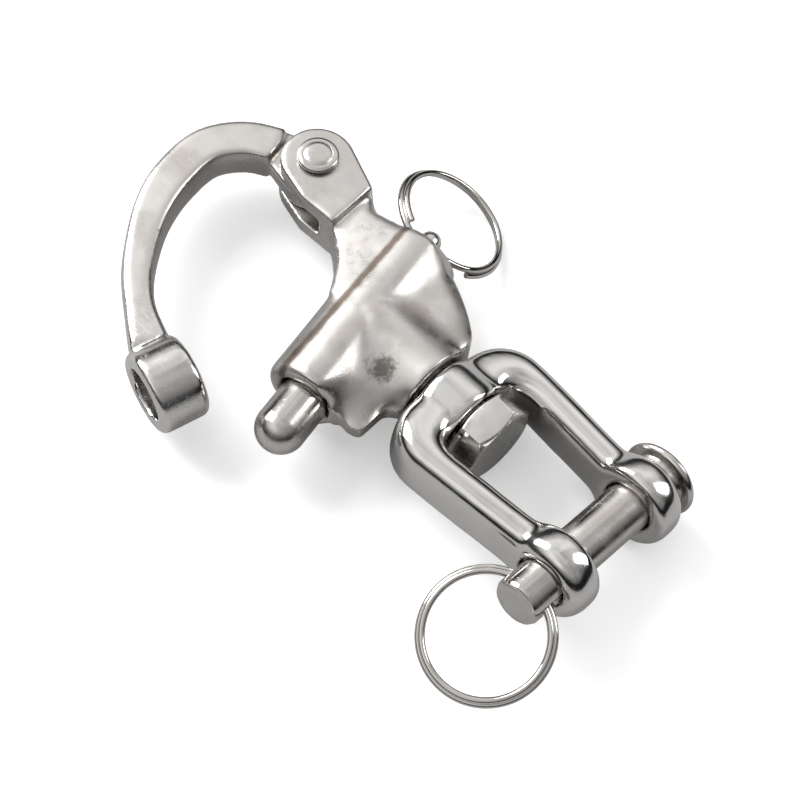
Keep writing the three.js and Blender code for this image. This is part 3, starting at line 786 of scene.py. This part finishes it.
class MakePlunger(bpy.types.Operator):
    """Turns the plunger and drills its tail"""

    bl_idname = "shackle.make_plunger"
    bl_label = "Plunger"

    def execute(self, context):
        size = sizes()
        radius, tail = size.plunger_radius, size.tail_radius
        step = 0.25 * MM
        profile = [
            *arc((0, radius - size.plunger_reach), radius, -89.7, 0, 20),
            (radius, -size.plunger_shoulder - step),
            (radius - step, -size.plunger_shoulder),
            (tail, -size.plunger_shoulder),
            *arc((0, size.tail_reach - tail), tail, 0, 89.5, 12),
        ]
        piece = turned("plunger_turned", profile)
        put(piece, LATCH @ ALONG_Y)
        drill(piece, "pull_ring_swing", size.tail_hole_radius, 4 * MM)
        soften_edges(piece, 0.12 * MM, 2, 40)
        shade(piece)
        finish_piece(piece, "plunger", "plunger", turned_steel())
        return {"FINISHED"}


def wire(name, points, radius):
    """A round wire along points, with its ends closed."""
    bpy.ops.object.select_all(action="DESELECT")
    curve = bpy.data.curves.new(name, "CURVE")
    curve.dimensions = "3D"
    spline = curve.splines.new("POLY")
    spline.points.add(len(points) - 1)
    for spot, place in zip(spline.points, points):
        spot.co = (*place, 1)
    curve.bevel_depth = radius
    curve.bevel_resolution = 6
    curve.use_fill_caps = True
    piece = add_object(name, curve)
    activate(piece)
    bpy.ops.object.convert(target="MESH")
    weld(piece)
    return piece


class MakePlungerSpring(bpy.types.Operator):
    """Winds the plunger's spring, with closed ends"""

    bl_idname = "shackle.make_plunger_spring"
    bl_label = "Plunger spring"

    def execute(self, context):
        size = sizes()
        radius = size.spring_wire
        start = -size.plunger_shoulder + radius + 0.15 * MM
        end = size.spring_end - radius
        turns, closed_turns, steps = 8, 1, 40
        pitch_closed = 2.1 * radius
        middle = (end - start - 2 * closed_turns * pitch_closed) / (turns - 2 * closed_turns)
        points = []
        height = start
        for i in range(turns * steps + 1):
            angle = 2 * math.pi * i / steps
            across, beside = math.cos(angle), math.sin(angle)
            points.append((size.spring_radius * across, size.spring_radius * beside, height))
            at_end = i < closed_turns * steps or i >= (turns - closed_turns) * steps
            height += (pitch_closed if at_end else middle) / steps
        piece = wire("plunger_spring_wound", points, radius)
        put(piece, LATCH @ ALONG_Y)
        shade(piece)
        finish_piece(piece, "plunger_spring", "body", ring_wire())
        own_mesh(piece)
        return {"FINISHED"}


def split_ring(name, centre, across, normal, start_turn, direction, gap):
    """A split ring: two turns of wire side by side, crossing where one turn passes to the other.

    It starts on the outside and ends on the inside, the gap being how far short of two turns it is.
    """
    size = sizes()
    clearance = 0.15 * MM
    outer = size.ring_radius - size.ring_wire - clearance
    step_in = 0.55 * MM
    layer = 0.42 * MM
    crossing = math.radians(34)
    total = 4 * math.pi - gap
    steps = 240
    side = normal.cross(across).normalized()
    points = []
    for i in range(steps + 1):
        along = total * i / steps
        passed = smoothstep(total / 2 - crossing / 2, total / 2 + crossing / 2, along)
        radius = outer - step_in * passed
        angle = start_turn + direction * along
        spoke = across * math.cos(angle) + side * math.sin(angle)
        points.append(centre + spoke * radius + normal * layer * (2 * passed - 1))
    return wire(name, points, size.ring_wire)


# Where each ring's wire starts, which way it winds and how far it is short of two turns, in degrees.
RINGS = {"pull_ring": (140, 1, 80), "clevis_ring": (112, 1, 44)}


class MakeSplitRings(bpy.types.Operator):
    """Winds the pull ring and the clevis pin's ring"""

    bl_idname = "shackle.make_split_rings"
    bl_label = "Split rings"

    def execute(self, context):
        for name, (start, direction, gap) in RINGS.items():
            centre = ring_centre(name)
            normal = ring_normal(name, centre)
            across = (joint_place(name + "_swing") - centre).cross(normal).normalized()
            piece = split_ring(
                name + "_wound", centre, across, normal, math.radians(start), direction,
                math.radians(gap),
            )
            shade(piece)
            finish_piece(piece, name, name, ring_wire())
        return {"FINISHED"}


def ring_centre(node_name):
    mesh = frame["nodes"][node_name].data
    total = Vector((0, 0, 0))
    for vertex in mesh.vertices:
        total += vertex.co
    return total / len(mesh.vertices)


def ring_normal(node_name, centre):
    """The upward direction along which a flat ring is thinnest: square to two of its spokes."""
    spokes = [vertex.co - centre for vertex in frame["nodes"][node_name].data.vertices]
    first = max(spokes, key=lambda spoke: spoke.length)
    second = min(spokes, key=lambda spoke: abs(spoke.normalized().dot(first.normalized())))
    normal = first.cross(second).normalized()
    return normal if normal.z > 0 else -normal


class MakeSwivelBolt(bpy.types.Operator):
    """Makes the swivel bolt, with a chamfered hexagon head"""

    bl_idname = "shackle.make_swivel_bolt"
    bl_label = "Swivel bolt"

    def execute(self, context):
        size = sizes()
        flat = size.bolt_across_flats / 2
        corner = flat / math.cos(math.pi / 6)
        top = size.bolt_head_height
        bpy.ops.object.select_all(action="DESELECT")
        bpy.ops.mesh.primitive_cylinder_add(
            vertices=6, radius=corner, depth=top, location=(0, 0, top / 2)
        )
        piece = bpy.context.object
        piece.name = "swivel_bolt_made"
        bpy.ops.object.transform_apply(location=True, rotation=True, scale=True)
        wide = corner + 0.3 * MM
        low_end, high_end = flat * 0.96, flat * 0.95
        low_edge, high_edge = 0.9 * MM, 1.15 * MM
        past = 0.2 * MM  # the cones run on past the head's ends, so that no faces lie together
        chamfer = turned("chamfer", [
            (low_end - past * (wide - low_end) / low_edge, -past),
            (wide, low_edge),
            (wide, top - high_edge),
            (high_end - past * (wide - high_end) / high_edge, top + past),
        ], CHAMFER_SEGMENTS)
        combine(piece, chamfer, "INTERSECT")
        soften_edges(piece, 0.14 * MM, 3, 22)
        shade(piece, 35)
        middle = Matrix.Translation(CENTRE)
        outwards = Matrix.Translation((size.bolt_head_start, 0, 0))
        put(piece, middle @ Matrix.Rotation(BOLT_HEAD_TURN, 4, "X") @ outwards @ ALONG_X)
        shank_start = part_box("swivel_bolt")[0].x - CENTRE.x
        shank_end = size.bolt_head_start + 1 * MM
        shank = rod("shank", size.bolt_radius, shank_start, shank_end, SHANK_SEGMENTS)
        put(shank, middle @ ALONG_X)
        combine(piece, shank, "UNION")
        shade(piece, 35)
        finish_piece(piece, "swivel_bolt", "body", bolt_steel())
        return {"FINISHED"}


class MakeClevisPin(bpy.types.Operator):
    """Turns the clevis pin and drills its free end"""

    bl_idname = "shackle.make_clevis_pin"
    bl_label = "Clevis pin"

    def execute(self, context):
        size = sizes()
        radius, head = size.pin_radius, size.pin_head_radius
        seat = size.pin_seat
        top = seat + size.pin_head_height
        collar = 1.15 * MM
        rim = 0.65 * MM
        profile = [
            (POLE, -size.pin_tip + 0.12 * MM),
            (0.35 * radius, -size.pin_tip + 0.1 * MM),
            (0.6 * radius, -size.pin_tip),
            (radius - 0.8 * MM, -size.pin_tip),
            (radius - 0.3 * MM, -size.pin_tip + 0.2 * MM),
            (radius, -size.pin_tip + 0.8 * MM),
            (radius, seat),
            (radius + 0.8 * MM, seat),
            (radius + 0.8 * MM, seat + collar),
            (head - 0.4 * MM, seat + collar),
            *arc((head - rim, seat + collar + rim), rim, -30, 55, 6),
            (0.8 * head, top - 0.45 * MM),
            (0.55 * head, top - 0.18 * MM),
            (0.3 * head, top - 0.04 * MM),
            (POLE, top),
        ]
        piece = turned("clevis_pin_turned", profile)
        put(piece, CLEVIS @ ALONG_Y)
        drill(piece, "clevis_ring_swing", size.pin_hole_radius, 6 * MM)
        soften_edges(piece, 0.1 * MM, 2, 40)
        shade(piece, 35)
        finish_piece(piece, "clevis_pin", "clevis_pin", turned_steel())
        return {"FINISHED"}


# ---- Stage: floor, light and camera ----
CAMERA_AZIMUTH = math.radians(36.95)
CAMERA_ELEVATION = math.radians(61.6)
CAMERA_ROLL = math.radians(8.8)
CAMERA_DISTANCE = 320 * MM
CAMERA_RIGHT = 5.73 * MM  # how far the middle of the view is from the plunger's crossing
CAMERA_UP = -11.95 * MM
CAMERA_LENS = 90.72  # in millimetres, like the sensor's width
CAMERA_SENSOR = 36


def camera_axes():
    """The camera's right, up and backward directions."""
    turn, rise = CAMERA_AZIMUTH, CAMERA_ELEVATION
    right = Vector((math.cos(turn), math.sin(turn), 0))
    level = math.cos(rise)
    back = Vector((math.sin(turn) * level, -math.cos(turn) * level, math.sin(rise)))
    up = back.cross(right)
    rolled_right = right * math.cos(CAMERA_ROLL) + up * math.sin(CAMERA_ROLL)
    return rolled_right, back.cross(rolled_right), back


def add_camera():
    right, up, back = camera_axes()
    camera = bpy.data.cameras.new("camera")
    camera.lens = CAMERA_LENS
    camera.sensor_width = CAMERA_SENSOR
    camera.clip_start = 0.01
    holder = add_object("camera", camera)
    turn = Matrix((right, up, back)).transposed().to_4x4()
    place = CENTRE + right * CAMERA_RIGHT + up * CAMERA_UP + back * CAMERA_DISTANCE
    holder.matrix_world = Matrix.Translation(place) @ turn
    bpy.context.scene.camera = holder


def add_softbox(name, place, width, height, power):
    """A rectangular light that faces the middle of the stage."""
    light = bpy.data.lights.new(name, "AREA")
    light.shape = "RECTANGLE"
    light.size = width
    light.size_y = height
    light.energy = power
    holder = add_object(name, light)
    turn = Vector(place).to_track_quat("Z", "Y").to_matrix().to_4x4()
    holder.matrix_world = Matrix.Translation(place) @ turn


FLOOR_WIDTH = 3  # metres
FLOOR_GAP = 0.2 * MM  # how far the floor is below the level the pieces lie on
FLOOR_IN_METAL = 0.55  # how bright the floor is to everything but the camera
FLOOR_GLOW = 0.42  # how much light it gives where the camera sees it


def floor_material():
    material = bpy.data.materials.new("studio_floor")
    material.use_nodes = True
    tree = material.node_tree
    shader = tree.nodes["Principled BSDF"]
    place = node(tree, "ShaderNodeTexCoord").outputs["Object"]
    faint = remap(tree, noise(tree, place, 30, 2.0), 0.3, 0.7, 0.55, 0.65)
    tree.links.new(faint, shader.inputs["Roughness"])
    seen = node(tree, "ShaderNodeLightPath").outputs["Is Camera Ray"]
    mirrored = tuple(FLOOR_IN_METAL * level for level in colours().floor)
    shown = mix_colour(tree, seen, rgb(mirrored), rgb(colours().floor))
    tree.links.new(shown, shader.inputs["Base Color"])
    shader.inputs["Specular IOR Level"].default_value = 0.1
    shader.inputs["Emission Color"].default_value = rgb(colours().floor)
    tree.links.new(maths(tree, "MULTIPLY", seen, FLOOR_GLOW), shader.inputs["Emission Strength"])
    return material


# How bright the room is at each height of view: (sine of the elevation, brightness).
ROOM = [
    (-1, 0.5), (-0.02, 0.5), (0.06, 0.03), (0.26, 0.03), (0.5, 0.5), (0.66, 1), (0.78, 1),
    (0.9, 0.76), (1, 0.72),
]
ROOM_LIGHT = Vector((-0.85, -0.1, 0.52))  # towards the room's bright side
ROOM_DIM, ROOM_BRIGHT = 0.5, 1.1  # strength of the light from the other side and from this one


def add_world():
    """A pale room with a dark band above the horizon, dimmer on one side and softly blotched."""
    world = bpy.data.worlds.new("studio")
    bpy.context.scene.world = world
    world.use_nodes = True
    tree = world.node_tree
    background = tree.nodes["Background"]
    direction = node(tree, "ShaderNodeTexCoord").outputs["Generated"]
    height = node(tree, "ShaderNodeSeparateXYZ", {0: direction}).outputs["Z"]
    share = maths(tree, "ADD", maths(tree, "MULTIPLY", height, 0.5), 0.5)
    band = node(tree, "ShaderNodeValToRGB", {0: share})
    ramp = band.color_ramp
    ramp.interpolation = "EASE"
    for sine, _level in ROOM[1:-1]:
        ramp.elements.new(0.5 + 0.5 * sine)
    for element, (_sine, level) in zip(ramp.elements, ROOM):
        element.color = (level, level, level, 1)
    toward = node(
        tree, "ShaderNodeVectorMath", {0: direction, 1: ROOM_LIGHT}, operation="DOT_PRODUCT",
    ).outputs["Value"]
    side = remap(tree, toward, -0.3, 0.7, ROOM_DIM, ROOM_BRIGHT)
    blotches = remap(tree, noise(tree, direction, 2.2, 2.0), 0.35, 0.65, 0.72, 1.12)
    tree.links.new(band.outputs[0], background.inputs["Color"])
    tree.links.new(maths(tree, "MULTIPLY", side, blotches), background.inputs["Strength"])


class MakeStage(bpy.types.Operator):
    """Sets up the floor, the soft studio light and the camera"""

    bl_idname = "shackle.make_stage"
    bl_label = "Stage"

    def execute(self, context):
        bpy.ops.object.select_all(action="DESELECT")
        bpy.ops.mesh.primitive_grid_add(x_subdivisions=2, y_subdivisions=2, size=FLOOR_WIDTH)
        floor = context.object
        floor.name = "floor"
        floor.location.z = -FLOOR_GAP
        bpy.ops.object.transform_apply(location=True, rotation=True, scale=True)
        floor.data.materials.append(floor_material())
        add_world()
        add_softbox("key_softbox", (-0.75, -0.1, 0.6), width=0.5, height=0.6, power=8)
        add_softbox("side_softbox", (0.5, 0.7, 0.6), width=0.35, height=0.6, power=2.5)
        add_camera()
        context.scene.view_settings.view_transform = "Standard"
        return {"FINISHED"}


OPERATORS = (
    MakeStage, MakeBodyCasting, MakeGate, MakeHingeRivet, MakePlunger, MakePlungerSpring,
    MakeSplitRings, MakeSwivelBolt, MakeFork, MakeClevisPin,
)


class ShacklePanel(bpy.types.Panel):
    """Lists the pieces and their sizes"""

    bl_idname = "VIEW3D_PT_snap_shackle"
    bl_label = "Snap shackle"
    bl_space_type = "VIEW_3D"
    bl_region_type = "UI"
    bl_category = "Shackle"

    def draw(self, context):
        layout = self.layout
        for operator in OPERATORS:
            layout.operator(operator.bl_idname)
        for group in (context.scene.shackle_sizes, context.scene.shackle_colours):
            for name in group.__annotations__:
                layout.prop(group, name)


CLASSES = (ShackleSizes, ShackleColours, *OPERATORS, ShacklePanel)


def register():
    for each in CLASSES:
        bpy.utils.register_class(each)
    bpy.types.Scene.shackle_sizes = PointerProperty(type=ShackleSizes)
    bpy.types.Scene.shackle_colours = PointerProperty(type=ShackleColours)


def unregister():
    del bpy.types.Scene.shackle_colours
    del bpy.types.Scene.shackle_sizes
    for each in reversed(CLASSES):
        bpy.utils.unregister_class(each)


def main():
    register()
    for operator in OPERATORS:
        category, name = operator.bl_idname.split(".")
        getattr(getattr(bpy.ops, category), name)()


if __name__ == "__main__":
    main()
